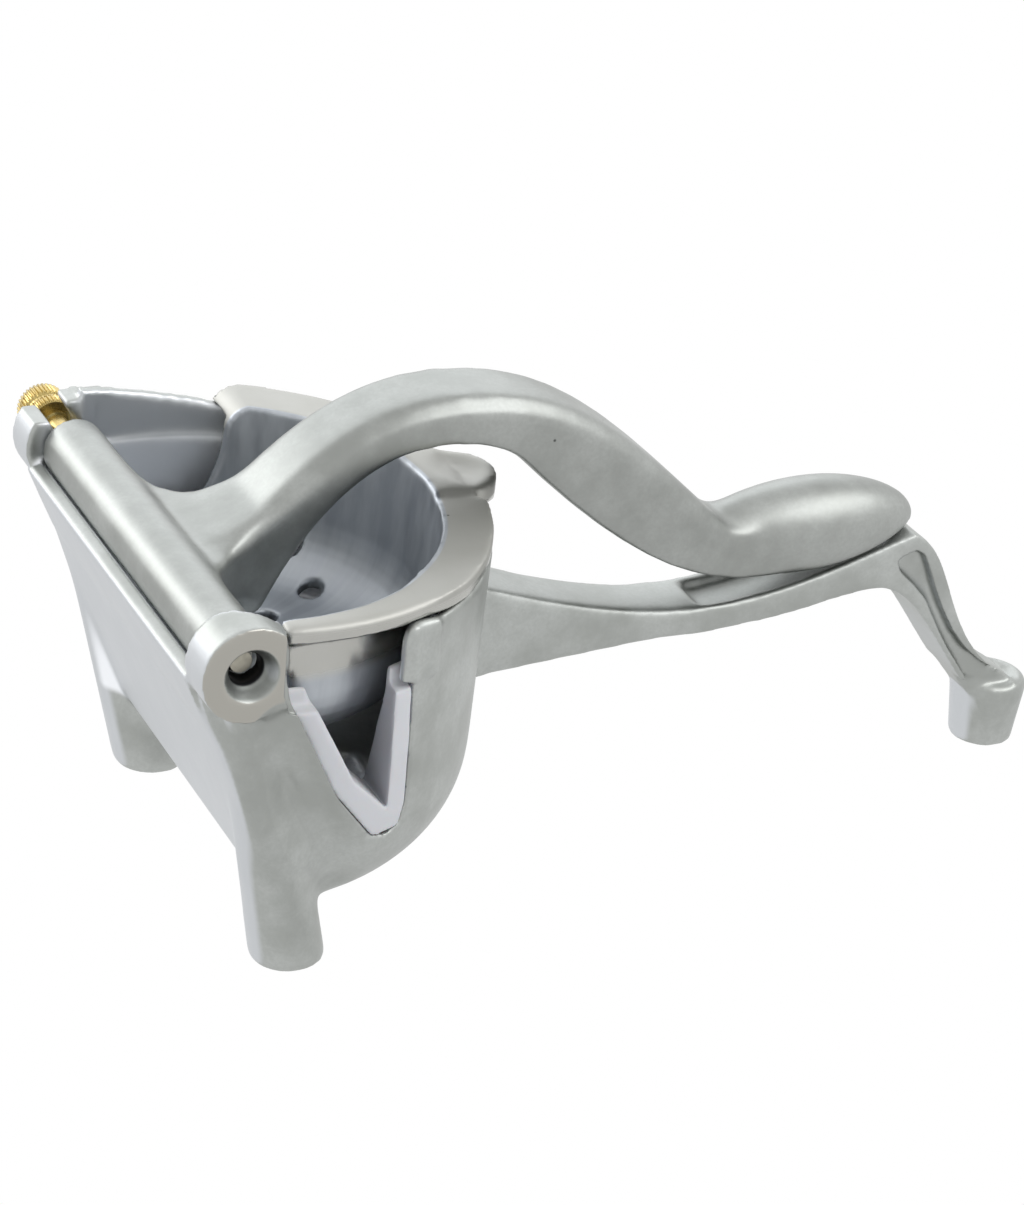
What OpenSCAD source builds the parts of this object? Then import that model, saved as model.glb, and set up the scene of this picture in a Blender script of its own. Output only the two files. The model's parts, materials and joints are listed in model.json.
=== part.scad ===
// Lever citrus press: a cast hopper on three legs, a lift-out strainer cup,
// a hinged press lever on a steel shaft, a knurled brass nut and a soft spout trim.
// X runs from the hinge to the handle, Y to the far side, Z up. All sizes in mm.

/* [Hinge] */
// Height of the hinge axis above the table
hinge_h = 71; // [66:1:80]
// Width over the two hinge bosses
boss_span = 110; // [104:1:120]
// Outer diameter of a hinge boss
boss_d = 19; // [18:0.5:22]
// Length of a hinge boss along the axis
boss_len = 9.5; // [9:0.5:11]
// Diameter of the lever's hinge barrel
barrel_d = 13; // [12:0.5:14]
// Diameter of the pivot shaft
shaft_d = 6; // [5:0.5:7]
// Depth of the shaft's near end below the boss face
shaft_recess = 6; // [5:0.5:6.5]
// Diameter of the polished countersink in the near boss
sink_d = 10.6; // [10:0.2:12]
// Depth of that countersink
sink_depth = 3.6; // [3:0.2:4]

/* [Hopper] */
// Radius of the hopper's outer wall at the top
hopper_r = 52.2; // [51:0.2:54]
// Distance from the hinge axis to the hopper's upright axis
hopper_x = 14.5; // [12:0.5:18]
// Wall thickness of the casting
wall = 3.2; // [2.6:0.1:3.6]
// Height of the seat under the cup rim, over the middle
seat_h = 74.2; // [72:0.2:76]
// Height of the hopper's underside
hopper_low = 8; // [6:0.5:10]
// Radius of the round between the wall and the underside
low_round = 25; // [20:1:28]
// Lean of the flat back plate
back_lean = 19.5; // [16:0.5:22]
// Height of the back plate's lower edge
back_low = 19; // [16:1:22]

// Tilt of the rim seat, down towards the spout
seat_tilt = 2.8; // [0:0.2:4]

/* [Legs] */
// Distance from the hinge axis to the rear legs
leg_x = 17; // [15:0.5:20]
// Distance from the middle to a rear leg
leg_y = 39; // [36:0.5:41]
// Diameter of a rear leg at the table
leg_d = 15; // [13:0.5:16]
// Diameter of a rear leg under its boss
leg_top_d = 12.4; // [11:0.2:13]
// Distance from the hinge axis to the front foot
foot_x = 197; // [185:1:215]
// Diameter of the front foot at the table
foot_d = 13.8; // [12.6:0.2:15]
// Diameter of the front foot at its top
foot_top_d = 16.6; // [15.6:0.2:17.6]
// Height of the front foot's round part
foot_h = 13; // [11:0.5:15]

/* [Spout] */
// Distance from the hinge axis to the spout's lowest point
spout_x = 32; // [28:0.5:34]
// Height of the spout's lowest point
spout_low = 28.5; // [26:0.5:31]
// Thickness of the soft trim
trim_t = 1.6; // [1.2:0.1:2]
// Width of the trim's front face
trim_w = 4.4; // [3:0.2:5]
// Height of the upper ends of the trim's front face
trim_top = 60; // [56:1:62]
// Reach of the trim along the inside of the wall
trim_reach = 6; // [4:0.5:8]

/* [Cup] */
// Radius of the strainer cup inside the rim
cup_r = 44.6; // [43.6:0.2:45]
// Wall thickness of the cup
cup_wall = 2.2; // [1.8:0.1:2.4]
// Height of the cup's inner floor
cup_floor = 47; // [45:0.5:50]
// Thickness of the rim
rim_t = 3.8; // [3:0.1:4.4]
// Diameter of a strainer hole
hole_d = 5; // [4:0.2:6]
// Thickness of the lift tab
tab_t = 5; // [4:0.2:6]

/* [Lever] */
// Width of the lever arm
lever_w = 20; // [18:0.5:22]
// Depth of the lever arm
lever_t = 12.5; // [11:0.5:14]
// Largest diameter of the palm grip
grip_d = 20.6; // [18:0.2:22]
// Width of the lower arm where it leaves the hopper
arm_root_w = 16; // [15:0.5:19]
// Width of the lower arm at its waist
arm_waist_w = 14.4; // [13:0.2:16]
// Width of the lower arm under the palm grip
arm_wide_w = 16.4; // [15:0.2:18]
// Width of the lower arm at the foot
arm_end_w = 15.5; // [14:0.5:17]
// Depth of the channels in the lower arm and the foot leg
channel_depth = 2.6; // [2:0.2:3.4]

/* [Nut] */
// Diameter of the knurled nut
nut_d = 10.4; // [9.6:0.2:11.2]
// Diameter of the nut's smooth neck
neck_d = 5; // [4.8:0.1:5.6]
// Thread diameter of the shaft's far end
thread_d = 3.4; // [3:0.1:3.6]

/* [Clearances] */
// Radial play of a turning fit
turn_play = 0.05; // [0.02:0.01:0.09]
// Free gap between separate moving pieces
free_gap = 0.35; // [0.3:0.05:0.6]
// Gap between a seated piece and its seat
seat_gap = 0.05; // [0.03:0.01:0.1]

/* [Hidden] */
$fn = 64;

boss_face = boss_span / 2;
boss_in = boss_face - boss_len;
barrel_len = 2 * (boss_in - free_gap);
rim_top = seat_h + rim_t;
// The cup's rim ends here beside the spout, and here beside the raised far wall.
cup_near_x = 9;
cup_far_x = 33.5;
// The wall flares out by this much at the upper and lower end of the spout's left side.
lip_out = 4.6;
lip_low = 0.2;
// Outer end of the knurled nut.
nut_end = boss_face + 12;
spread = hopper_r + lip_out;
// The whole press is shifted so that the origin lies under its middle.
mid_x = (foot_x + foot_top_d / 2 - boss_d / 2) / 2;
mid_y = (nut_end - spread) / 2;
big = 400;

// Points of a cubic curve from a to d that leaves towards b and arrives from c.
function curve(a, b, c, d, n = 10) =
    [for (i = [0:n]) let (t = i / n, u = 1 - t)
        u * u * u * a + 3 * t * u * u * b + 3 * t * t * u * c + t * t * t * d];

// Points of an arc about a centre.
function arc(c, r, from, to, n = 10) =
    [for (i = [0:n]) let (w = from + (to - from) * i / n) c + r * [cos(w), sin(w)]];

// Carries an outline drawn in X and Z across the width w.
module across(w) {
    rotate([90, 0, 0])
        linear_extrude(w, center = true)
            children();
}

// A round bar along Y on the hinge axis, from one Y to another.
module on_hinge(y0, y1, d, d1 = 0) {
    translate([0, y0, hinge_h])
        rotate([-90, 0, 0])
            cylinder(h = y1 - y0, d1 = d, d2 = d1 == 0 ? d : d1);
}

// Hopper: a bowl turned about an upright axis. Inset takes a skin off its outside.
wall_draft = 1.6;
pocket_r = 26;
bore_deep = 7;
bowl_top = hinge_h + boss_d / 2 + 1;

module bowl(inset) {
    r_low = hopper_r - wall_draft - low_round;
    z_low = hopper_low + low_round;
    translate([hopper_x, 0, 0])
        rotate_extrude($fn = 96)
            polygon(concat(
                [[0, hopper_low + inset]],
                arc([r_low, z_low], low_round - inset, -90, 0),
                [[hopper_r - inset, bowl_top], [0, bowl_top]]));
}

// Everything in front of the leaning back plate, measured from its outer face.
plate_x = -8.2;
plate_top = hinge_h - 3;

module in_front(depth) {
    translate([plate_x, 0, plate_top])
        rotate([0, -back_lean, 0])
            translate([depth, -big / 2, -big / 2])
                cube(big);
}

// Everything above the hopper's floor, which falls towards the spout.
floor_fall = 5;
floor_mid = spout_low + 5;

module over_floor(drop) {
    translate([0, 0, floor_mid - drop])
        rotate([floor_fall, 0, 0])
            translate([-big / 2, -big / 2, 0])
                cube(big);
}

// The V of the spout in X and Z. Inset narrows it on every side.
spout_side = spout_x + 4;
slope_n = [0.88, 0.47];
turn_n = [0.6, 0.8];

function notch_left(inset) = [
    [5.8, bowl_top + 10] + [inset, 0],
    [6.6, hinge_h - 3] + inset * slope_n,
    [10.6, spout_low + 30] + inset * slope_n,
    [19.6, spout_low + 12.5] + inset * slope_n];

function notch_right(inset) = [
    [spout_side - 0.3, spout_low + 19] - inset * [1, 0],
    [spout_side - 0.8, trim_top] - inset * [1, 0],
    [spout_side - 1, bowl_top + 10] - inset * [1, 0]];

function notch(inset) = concat(
    notch_left(inset),
    [[spout_x - 3.5, spout_low + 1.2] + inset * turn_n,
        [spout_x, spout_low + inset],
        [spout_x + 3, spout_low + 1.4] + inset * [-turn_n[0], turn_n[1]],
        [spout_side, spout_low + 6] - inset * [1, 0]],
    notch_right(inset));

module through_wall() {
    translate([0, -big / 4 - 20, 0])
        across(big / 2)
            children();
}

module notch_cut(inset) {
    through_wall()
        polygon(notch(inset));
}

// The open V inside the trim, with one sharp point below.
module trim_opening() {
    low = [spout_side - trim_w, spout_low + trim_w + 1.8];
    through_wall()
        polygon(concat(notch_left(trim_w), [low], notch_right(trim_w)));
}

// Turns the bare top of the spout's right side square to the hopper's wall.
square_out = 1.3;

module notch_square() {
    turn = asin((spout_side + square_out - hopper_x) / hopper_r);
    translate([hopper_x, 0, trim_top])
        rotate([0, 0, turn])
            translate([-3 * square_out, -big, 0])
                cube([3 * square_out, big, big]);
}

// Tilts what sits on the rim seat about the middle of the seat.
module on_seat() {
    translate([0, 0, seat_h])
        rotate([seat_tilt, 0, 0])
            children();
}

// Takes away what stands above the rim seat and above the far wall's falling top.
// Heights in the two lines are measured from the seat.
far_end = cup_far_x - 4.8;
boss_rise = hinge_h + boss_d / 2 - seat_h;

module above_walls() {
    far_line = [[0, boss_rise - 1], [12, boss_rise - 3], [24, 1.2], [far_end, 0.6], [far_end, 0], [big, 0],
        [big, 50], [0, 50]];
    near_line = [[0, boss_rise + 3], [spout_side - 4, boss_rise + 3], [spout_side - 4, -2.6],
        [spout_side + 1, -1.4], [spout_side + 6, 0], [big, 0], [big, 50], [0, 50]];
    translate([-big, -big / 2, plate_top])
        cube([big, big, big]);
    on_seat() {
        translate([0, big / 4, 0])
            across(big / 2)
                polygon(far_line);
        translate([0, -big / 4, 0])
            across(big / 2)
                polygon(near_line);
    }
}

// A rear leg: a tapered post from under its boss to the table.
module leg(side) {
    top = [1.5, side * (boss_face - leg_top_d / 2 - 0.6), hinge_h - 2];
    foot = [leg_x, side * leg_y, 0];
    rise = top - foot;
    reach = norm(rise);
    slant = acos(rise[2] / reach);
    turn = atan2(rise[1], rise[0]);
    intersection() {
        translate(foot)
            rotate([0, slant, turn])
                translate([0, 0, -6])
                    cylinder(h = reach + 6, d1 = leg_d, d2 = leg_top_d);
        translate([-big / 2, -big / 2, 0])
            cube([big, big, hinge_h]);
    }
}

// Lower arm in X and Z: it dips under the grip, rises to a knee and runs down to the foot.
arm_root_x = hopper_x + hopper_r - 6;
dip = [116, 45];
knee = [167.5, 55.7];
bend = [158, 44];

function arm_top(drop) = concat(
    curve([arm_root_x, dip[1] + 14 - drop], [86, dip[1] + 4 - drop], [104, dip[1] - drop], dip - [0, drop]),
    curve(dip - [0, drop], dip + [18, -drop], knee - [18, 5.2 + drop], knee - [0, drop]));

function arm_front(drop) =
    curve(knee - [drop, 0], knee + [12.5 - drop, -5.5], knee + [9.5 - drop, -28], [foot_x + 1 - drop, foot_h + 4]);

function arm_under(drop) =
    curve([foot_x - foot_d / 2 + drop, foot_h - 1], bend + [18 + drop, -16], bend + [12 + drop, 1], bend + [drop, 0]);

module arm_side() {
    across(3 * arm_root_w)
        polygon(concat(
            arm_top(0),
            arm_front(0),
            [[foot_x + foot_d / 2 - 1, foot_h - 1], [foot_x, foot_h - 4], [foot_x - foot_d / 2 + 2, foot_h - 4]],
            arm_under(0),
            curve(bend, bend - [14, 2], bend - [30, 5.5], bend - [50, 5.5]),
            [[arm_root_x, 35]]));
}

// Plan of the lower arm: a narrow waist, wider under the grip, and round at the foot.
waist_x = 98;
wide_x = 140;

module arm_plan(trim) {
    root = arm_root_w / 2 - trim;
    waist = arm_waist_w / 2 - trim;
    wide = arm_wide_w / 2 - trim;
    end = arm_end_w / 2 - trim;
    linear_extrude(big) {
        polygon(concat(
            [[arm_root_x - 1, root]],
            curve([arm_root_x, root], [arm_root_x + 12, waist], [waist_x - 10, waist], [waist_x, waist]),
            curve([waist_x, waist], [waist_x + 16, waist], [wide_x - 16, wide], [wide_x, wide]),
            [[knee[0], end], [foot_x, end], [foot_x, -end], [knee[0], -end]],
            curve([wide_x, -wide], [wide_x - 16, -wide], [waist_x + 16, -waist], [waist_x, -waist]),
            curve([waist_x, -waist], [waist_x - 10, -waist], [arm_root_x + 12, -waist], [arm_root_x, -root]),
            [[arm_root_x - 1, -root]]));
        translate([foot_x, 0])
            circle(d = foot_top_d - 2 * trim);
    }
}

// Side channel of the foot leg, between its front and its rear flange.
flange = 2.2;

module leg_channel() {
    polygon(concat(
        [knee + [-7, -6.5]],
        arm_front(flange + 1),
        [[foot_x - 1, foot_h + 0.6], [foot_x - 5, foot_h + 1.4]],
        arm_under(flange)));
}

module arm() {
    edge = 2.8;
    groove_from = 119;
    groove_to = knee[0] - 5;
    difference() {
        intersection() {
            arm_side();
            arm_plan(0);
        }
        // Channel along the top, under the palm grip.
        intersection() {
            across(arm_root_w)
                polygon(concat(arm_top(channel_depth), [[knee[0], 120], [arm_root_x, 120]]));
            arm_plan(edge);
            translate([groove_from, -big / 2, 0])
                cube([groove_to - groove_from, big, big]);
        }
        // Channels in both sides of the foot leg.
        for (side = [-1, 1])
            translate([0, side * (arm_end_w / 2 + 4 - channel_depth), 0])
                across(8)
                    intersection() {
                        leg_channel();
                        translate([0, foot_h + 1])
                            square([big, knee[1] - foot_h - 6]);
                    }
    }
    translate([foot_x, 0, 0])
        cylinder(h = foot_h, d1 = foot_d, d2 = foot_top_d);
}

// What falls away under the back plate's lower edge.
module below_plate() {
    edge = [plate_x + (plate_top - back_low) * tan(back_lean), back_low];
    front = [hopper_x + 6, hopper_low];
    across(big)
        polygon([[-big, edge[1]], edge, front, [front[0], -big], [-big, -big]]);
}

// Flat back plate between the legs, with a straight lower edge.
module back_plate() {
    intersection() {
        difference() {
            in_front(0);
            in_front(wall);
        }
        rotate([90, 0, 90])
            translate([0, 0, -big / 2])
                linear_extrude(big)
                    polygon([[-boss_in - 2, plate_top], [-leg_y, back_low], [leg_y, back_low], [boss_in + 2, plate_top]]);
    }
}

module body_casting() {
    slot_w = neck_d + 2 * turn_play;
    color("silver")
        difference() {
            union() {
                difference() {
                    intersection() {
                        bowl(0);
                        in_front(0);
                    }
                    above_walls();
                    below_plate();
                }
                back_plate();
                leg(1);
                leg(-1);
                arm();
                on_hinge(-boss_face, -boss_in, boss_d);
                far_boss();
                spout_flare();
            }
            // Juice room above the floor.
            intersection() {
                bowl(wall);
                in_front(wall);
                over_floor(0);
            }
            // Wider machined bore for the cup, at the top of the wall.
            intersection() {
                bowl(wall - 0.6);
                in_front(wall);
                on_seat()
                    translate([0, -big / 2, -bore_deep])
                        cube(big);
            }
            // Pocket in the underside.
            difference() {
                intersection() {
                    translate([hopper_x, 0, -1])
                        cylinder(h = big / 4, r = pocket_r);
                    translate([hopper_x + 6 + wall, -big / 2, -1])
                        cube(big);
                }
                over_floor(wall);
            }
            notch_square();
            notch_cut(0);
            // Room for the turning barrel, and a level top on the back plate.
            on_hinge(-boss_in, boss_in, barrel_d + 2 * free_gap);
            translate([-big + 0.5, -boss_in, plate_top])
                cube([big, 2 * boss_in, big]);
            // Shaft bore and countersink of the near boss.
            on_hinge(-boss_face - 1, -boss_in + 1, shaft_d + 2 * turn_play);
            on_hinge(-boss_face - 0.01, -boss_face + sink_depth, sink_d, shaft_d + 1);
            // Open slot of the far boss.
            on_hinge(boss_in - 1, boss_face + 1, slot_w);
            translate([-slot_w / 2, boss_in - 1, hinge_h])
                cube([slot_w, boss_len + 2, boss_d]);
        }
}

// Far boss: its rear prong is cut lower, and its front prong is a square block.
rear_prong_h = 5.6;
front_prong_h = 8.6;

module far_boss() {
    difference() {
        on_hinge(boss_in, boss_face, boss_d);
        translate([-boss_d, boss_in - 1, hinge_h + rear_prong_h])
            cube([boss_d, boss_len + 2, boss_d]);
    }
    translate([0, boss_in, hinge_h])
        cube([boss_d / 2 - 0.6, boss_len, front_prong_h]);
}

// The wall flares out towards the left side of the spout.
module spout_flare() {
    lean = atan((lip_out - lip_low) / (hinge_h - spout_low));
    intersection() {
        translate([0, -lip_low, spout_low])
            rotate([lean, 0, 0])
                translate([-2, 0, -spout_low])
                    bowl(0);
        difference() {
            notch_cut(-6);
            notch_cut(0);
            bowl(wall);
        }
        translate([0, -big, spout_low + 2])
            cube([spout_x - 5, big, hinge_h - 1 - spout_low]);
    }
}

// What lies inside the trim: a funnel that leaves more depth towards the bottom.
module trim_room() {
    translate([hopper_x, 0, 0])
        rotate_extrude($fn = 96)
            polygon([[0, spout_low - 5], [hopper_r - 13, spout_low - 5], [hopper_r - 13, spout_low + 4],
                [hopper_r - wall - trim_t, trim_top + 1], [0, trim_top + 1]]);
}

// The trim's flap behind the wall stands this much higher than its front.
flap_rise = 3.5;

module up_to(height) {
    intersection() {
        children();
        translate([0, -big, 0])
            cube([big, big, height]);
    }
}

module spout_trim() {
    color("white")
        intersection() {
            union() {
                // Front band that fills the edge of the V.
                up_to(trim_top)
                    difference() {
                        intersection() {
                            bowl(0);
                            notch_cut(seat_gap);
                        }
                        trim_room();
                        trim_opening();
                    }
                // Flap that holds it behind the wall.
                up_to(trim_top + flap_rise)
                    difference() {
                        intersection() {
                            bowl(wall + seat_gap);
                            notch_cut(-trim_reach);
                        }
                        bowl(wall + trim_t);
                        trim_opening();
                    }
            }
            over_floor(-seat_gap);
        }
}

// Strainer cup: a turned bowl, open towards the hinge. It stands a little to the spout side.
cup_round = 16;
cup_taper = 3.5;
cup_mid = [hopper_x - 1.2, -1.2];

module cup_form(inset, top) {
    r_low = cup_r + cup_wall - cup_taper - cup_round;
    z_low = cup_floor - cup_wall + cup_round;
    translate([cup_mid[0], cup_mid[1], 0])
        rotate_extrude($fn = 96)
            polygon(concat(
                [[0, cup_floor - cup_wall + inset]],
                arc([r_low, z_low], cup_round - inset, -90, 0),
                [[cup_r + cup_wall - inset, top], [0, top]]));
}

module cup_back_cut() {
    top = rim_top + 20;
    near = [[cup_near_x, top], [cup_near_x, rim_top - 6], [cup_near_x + 3, rim_top - 18],
        [cup_near_x + 1, cup_floor + 7], [cup_near_x - 3, cup_floor + 4], [cup_near_x - 3, 0], [-big, 0], [-big, top]];
    beyond = concat([[cup_far_x + 4, top]],
        curve([cup_far_x + 4, rim_top + 3], [cup_far_x - 1, rim_top + 2],
            [cup_far_x - 3.8, rim_top], [cup_far_x - 3.9, rim_top - 6]),
        curve([cup_far_x - 3.9, rim_top - 6], [cup_far_x - 4.2, rim_top - 11],
            [cup_far_x - 6.5, rim_top - 15], [cup_far_x - 9.5, rim_top - 21]),
        [[cup_near_x - 3, cup_floor + 4], [cup_near_x - 3, 0], [-big, 0], [-big, top]]);
    translate([0, -big / 4, 0])
        across(big / 2)
            polygon(near);
    translate([0, big / 4, 0])
        across(big / 2)
            polygon(beyond);
}

// Lift tab in plan, and the rim, which narrows towards the spout. Both sit on the tilted seat.
tab_mid = 3;
tab_w = 19;
tab_end = hopper_x + hopper_r + 7.8;
tab_rise = 0.8;
rim_r = hopper_r - 0.4;
narrow_mid = [hopper_x + 3.5, 3];

module lift_tab() {
    dish = 21.5;
    difference() {
        translate([0, 0, rim_t + tab_rise - tab_t])
            linear_extrude(tab_t)
                union() {
                    translate([tab_end - tab_w / 2, tab_mid])
                        circle(d = tab_w);
                    translate([tab_end - 26, tab_mid - tab_w / 2])
                        square([26 - tab_w / 2, tab_w]);
                }
        // Thumb dish in its top.
        translate([tab_end - tab_w / 2 + 1, tab_mid, rim_t + dish - 0.4])
            sphere(r = dish, $fn = 80);
        // Clear of the hopper's front wall.
        translate([hopper_x, 0, -tab_t])
            cylinder(h = tab_t + seat_gap, r = hopper_r + free_gap);
    }
}

module cup_rim() {
    translate([0, 0, seat_gap])
        linear_extrude(rim_t - seat_gap)
            intersection() {
                translate([hopper_x, 0])
                    circle(r = rim_r, $fn = 96);
                translate(narrow_mid)
                    circle(r = hopper_r - 0.2, $fn = 96);
            }
}

// Strainer holes, in rows across the floor.
hole_step = 16;

module cup_holes() {
    rows = [[16, 2, [-1, 0, 1]], [28.7, 9.6, [-2, -1, 0, 1]], [41, 16.1, [-2, -1, 0, 0.7]]];
    for (row = rows)
        for (i = row[2])
            translate([row[0], row[1] + i * hole_step, cup_floor - cup_wall - 1])
                cylinder(h = cup_wall + 10, d = hole_d);
}

module strainer_cup() {
    color("gainsboro")
        difference() {
            union() {
                difference() {
                    cup_form(0, rim_top + 10);
                    on_seat()
                        translate([-big / 2, -big / 2, rim_t])
                            cube(big);
                }
                on_seat() {
                    cup_rim();
                    lift_tab();
                }
            }
            cup_form(cup_wall, rim_top + 20);
            cup_back_cut();
            cup_holes();
        }
}

// Lever outline in X and Z. Skin takes a layer off its top.
arch = [59, 98.5];
neck_end = [123, 62];
saddle = [19, hinge_h + 7.8];

function lever_top(skin) = concat(
    curve([0, hinge_h + barrel_d / 2 - 0.3 - skin], [7, hinge_h + 2 - skin], [12, hinge_h + 1 - skin],
        saddle - [0, skin]),
    curve(saddle - [0, skin], saddle + [9, 8.7 - skin], arch - [19, skin], arch - [0, skin]),
    curve(arch - [0, skin], arch + [25, -skin], arch + [38, -12 - skin], neck_end - [0, skin]));

// The underside runs on below the grip as a rib and fades out near its end.
rib_low = [131, 49.9];
rib_end = [153, 56.5];
belly = arch - [0, lever_t - 2.9];

lever_under = concat(
    [neck_end, rib_end],
    curve(rib_end, rib_end - [5, 4.5], rib_low + [8, -0.4], rib_low),
    curve(rib_low, rib_low + [-18, 1], rib_low + [-36, 12.5], belly + [13, -4]),
    curve(belly + [13, -4], belly + [8, -0.8], belly + [2, 0.2], belly - [4, 0]),
    curve(belly - [4, 0], belly - [17, 0], belly - [28, 9.5], belly - [39, 28.5]));

module lever_slab(w, skin) {
    across(w)
        polygon(concat(lever_top(skin), lever_under, [[4, hinge_h - 5]]));
}

// Keel: the deep edge under the arm that bears on the fruit.
keel_low = 58;

module keel() {
    across(lever_w - 1)
        polygon(concat(
            curve(belly - [8, 0], belly - [21, 2], belly - [32, 15], [20, keel_low]),
            [[15, keel_low - 1.5], [9, keel_low + 2], [3, hinge_h - 4], [5, hinge_h + 2], saddle + [5, 2]]));
}

// Plan of the arm where it spreads into the barrel, and of the rib below the grip.
module lever_plan() {
    flare = 36;
    w = lever_w / 2;
    rib = w - 3.6;
    linear_extrude(big)
        polygon(concat(
            [[0, flare]],
            curve([4.5, flare], [6, w + 9], [9, w + 4.5], [20, w]),
            curve([arch[0] + 26, w], [neck_end[0] - 12, w], [neck_end[0] - 6, w - 1], [neck_end[0] + 6, rib + 1.6]),
            [[rib_end[0], rib], [rib_end[0], -rib]],
            curve([neck_end[0] + 6, -rib - 1.6], [neck_end[0] - 6, 1 - w], [neck_end[0] - 12, -w], [arch[0] + 26, -w]),
            curve([20, -w], [9, -w - 4.5], [6, -w - 9], [4.5, -flare]),
            [[0, -flare]]));
}

// Palm grip: a turned egg along the end of the arm, flattened below to clear the lower arm.
grip_len = 52;
grip_from = [118, 57.8];
grip_tilt = 0.5;
grip_gap = 0.8;

module palm_grip() {
    r = grip_d / 2;
    difference() {
        translate([grip_from[0], 0, grip_from[1]])
            rotate([0, 90 + grip_tilt, 0])
                rotate_extrude()
                    polygon(concat(
                        [[0, 0]],
                        curve([4, 0], [7, 6], [r, 0.31 * grip_len], [r, 0.54 * grip_len]),
                        curve([r, 0.54 * grip_len], [r, 0.75 * grip_len], [6.5, grip_len], [0, grip_len])));
        across(3 * grip_d)
            polygon(concat(
                [for (q = arm_top(0)) q + [0, grip_gap]],
                [[big, knee[1] + grip_gap], [big, 0], [arm_root_x, 0]]));
    }
}

module press_lever() {
    step = 2.4;
    color("lightgray")
        difference() {
            union() {
                on_hinge(-barrel_len / 2, barrel_len / 2, barrel_d);
                intersection() {
                    union() {
                        lever_slab(2 * boss_in, step);
                        lever_slab(lever_w - 2 * step, 0);
                    }
                    lever_plan();
                }
                keel();
                palm_grip();
            }
            on_hinge(-boss_face, boss_face, shaft_d + 2 * seat_gap);
        }
}

// A turned piece on the hinge axis, from its profile of radius and Y.
module turned(profile) {
    translate([0, 0, hinge_h])
        rotate([-90, 0, 0])
            rotate_extrude()
                polygon(profile);
}

// The shaft ends in the nut, a little short of the nut's closed end.
nut_cap = 4;

module pivot_shaft() {
    nose = 2.4;
    nose_r = 0.35 * shaft_d;
    near_end = -boss_face + shaft_recess;
    color("gray")
        turned([[0, near_end], [nose_r, near_end], [shaft_d / 2, near_end + nose], [shaft_d / 2, barrel_len / 2],
            [thread_d / 2, barrel_len / 2], [thread_d / 2, nut_end - nut_cap], [0, nut_end - nut_cap]]);
}

module lock_nut() {
    collar = 1.6;
    groove = 1.4;
    groove_in = 0.7;
    band = 3.2;
    chamfer = 1;
    neck_from = barrel_len / 2;
    knob = boss_face + free_gap;
    band_1 = knob + collar;
    band_2 = band_1 + band + groove;
    r = nut_d / 2;
    bore = thread_d / 2 + seat_gap;
    color("goldenrod")
        turned([[bore, neck_from], [neck_d / 2, neck_from], [neck_d / 2, knob], [neck_d / 2 + 0.5, knob],
            [neck_d / 2 + 0.5, band_1], [r, band_1], [r, band_1 + band], [r - groove_in, band_1 + band],
            [r - groove_in, band_2], [r, band_2], [r, nut_end - chamfer], [r - chamfer, nut_end], [0, nut_end],
            [0, nut_end - nut_cap + free_gap], [bore, nut_end - nut_cap + free_gap]]);
}

translate([-mid_x, -mid_y, 0]) {
    body_casting();
    strainer_cup();
    press_lever();
    pivot_shaft();
    lock_nut();
    spout_trim();
}
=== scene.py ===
import json
import math

import bpy
from mathutils import Matrix, Vector

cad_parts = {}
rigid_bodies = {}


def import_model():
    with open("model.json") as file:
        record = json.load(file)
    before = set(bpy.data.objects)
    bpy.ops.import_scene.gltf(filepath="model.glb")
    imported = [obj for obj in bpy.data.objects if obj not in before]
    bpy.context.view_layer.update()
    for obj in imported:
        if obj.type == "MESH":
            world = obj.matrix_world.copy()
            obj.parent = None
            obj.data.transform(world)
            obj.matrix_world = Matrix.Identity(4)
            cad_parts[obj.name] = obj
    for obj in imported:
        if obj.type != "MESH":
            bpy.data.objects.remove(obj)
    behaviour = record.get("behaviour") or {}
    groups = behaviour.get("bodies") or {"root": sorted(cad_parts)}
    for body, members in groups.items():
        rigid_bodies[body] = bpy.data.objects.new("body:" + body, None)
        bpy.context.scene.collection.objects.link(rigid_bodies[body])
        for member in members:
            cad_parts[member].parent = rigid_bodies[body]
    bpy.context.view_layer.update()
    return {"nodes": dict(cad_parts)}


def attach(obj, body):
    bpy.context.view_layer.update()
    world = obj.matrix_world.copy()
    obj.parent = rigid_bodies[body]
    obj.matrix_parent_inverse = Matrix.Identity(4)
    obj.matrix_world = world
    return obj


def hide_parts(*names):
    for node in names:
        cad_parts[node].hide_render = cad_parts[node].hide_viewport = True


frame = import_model()

# The hinge axis in the shared frame, in metres, and its height in millimetres
HINGE = Vector((-0.0979, -0.0051, 0.071))
HINGE_H = 71.0

# Upright axes and radii of the hopper bowl and the cup, in metres
BOWL_X = HINGE.x + 0.0145
BOWL_Y = HINGE.y
BOWL_R = 0.0522
CUP_X = BOWL_X - 0.0012
CUP_Y = BOWL_Y - 0.0012
CUP_R = 0.0446


# Modelling helpers


def only(piece):
    bpy.ops.object.select_all(action="DESELECT")
    piece.select_set(True)
    bpy.context.view_layer.objects.active = piece


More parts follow.
